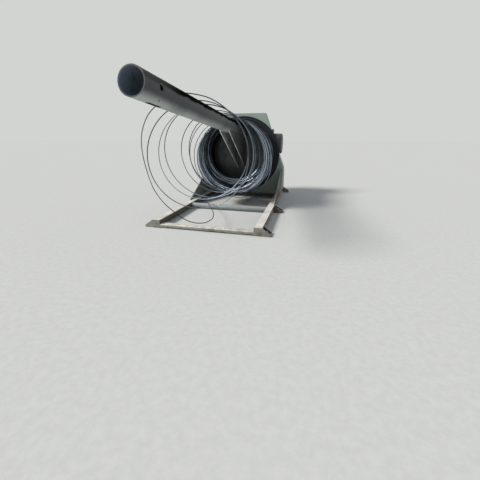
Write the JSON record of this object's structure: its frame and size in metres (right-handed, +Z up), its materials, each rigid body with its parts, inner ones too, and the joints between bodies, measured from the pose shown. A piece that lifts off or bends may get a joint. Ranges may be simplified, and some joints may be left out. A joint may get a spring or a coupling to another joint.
{
  "type": "horizontal wire take-up block with nose pipe",
  "caption": "Floor-standing wire take-up: a drum in front of a closed housing winds wire that slides onto a long sloping pipe, on a channel base frame with ribbed feet.",
  "frame": {"origin": "on the floor, at the centre of the anchor holes in the four outer feet", "axes": "+X to the right seen from the front, +Y to the rear along the machine, +Z up"},
  "size_m": [1.36, 3.2912, 1.2693],
  "materials": {
    "frame_paint": "worn grey-green paint, pale and dusty on top",
    "foot_paint": "worn grey-green paint with rust at the floor",
    "tie_paint": "worn blue-grey paint",
    "gusset_paint": "worn grey-green paint",
    "housing_paint": "satin grey-green paint with dust and oil marks",
    "nose_paint": "worn grey-green paint, rubbed dark by the wire",
    "bare_shaft": "turned steel, oily",
    "drum_iron": "dark, polished by the wire",
    "wire_steel": "drawn steel wire, blue-grey with bright highlights",
    "box_paint": "satin grey-green paint with dust on top",
    "gear_paint": "painted casting, oily",
    "motor_paint": "painted casting with dust between the fins"
  },
  "bodies": {
    "base": {"left_rail": "frame_paint", "right_rail": "frame_paint", "front_bar": "frame_paint", "tie_pipe": "tie_paint", "rear_bar": "frame_paint", "left_front_foot": "foot_paint", "right_front_foot": "foot_paint", "left_middle_foot": "foot_paint", "right_middle_foot": "foot_paint", "left_rear_foot": "foot_paint", "right_rear_foot": "foot_paint", "left_gusset": "gusset_paint", "right_gusset": "gusset_paint", "housing_front": "housing_paint", "housing_rear": "housing_paint", "housing_floor": "housing_paint", "housing_right_side": "housing_paint", "housing_right_slope": "housing_paint", "housing_top_plate": "housing_paint", "housing_left_slope": "housing_paint", "housing_left_side": "housing_paint", "box_left_side": "box_paint", "box_right_side": "box_paint", "box_top": "box_paint", "box_rear": "box_paint", "rear_cover": "box_paint", "bearing_housing": "gear_paint", "gearbox": "gear_paint", "motor": "motor_paint", "fan_cover": "motor_paint", "terminal_box": "motor_paint", "shaft_flange": "gear_paint", "nose_shaft": "bare_shaft", "nose_disc": "nose_paint", "nose_pipe": "nose_paint", "left_brace": "nose_paint", "right_brace": "nose_paint", "hanging_coil": "wire_steel", "front_loops": "wire_steel", "rear_loops": "wire_steel"},
    "drum": {"drum_hub": "drum_iron", "drum_flange": "drum_iron", "drum_barrel": "drum_iron", "drum_rib_set": "drum_iron", "drum_wire": "wire_steel"}
  },
  "joints": [
    {"name": "drum_spin", "type": "hinge", "parent": "base", "child": "drum", "pos_m": [0, 0.49, 0.655], "axis": [0, 1, 0], "continuous": true}
  ]
}
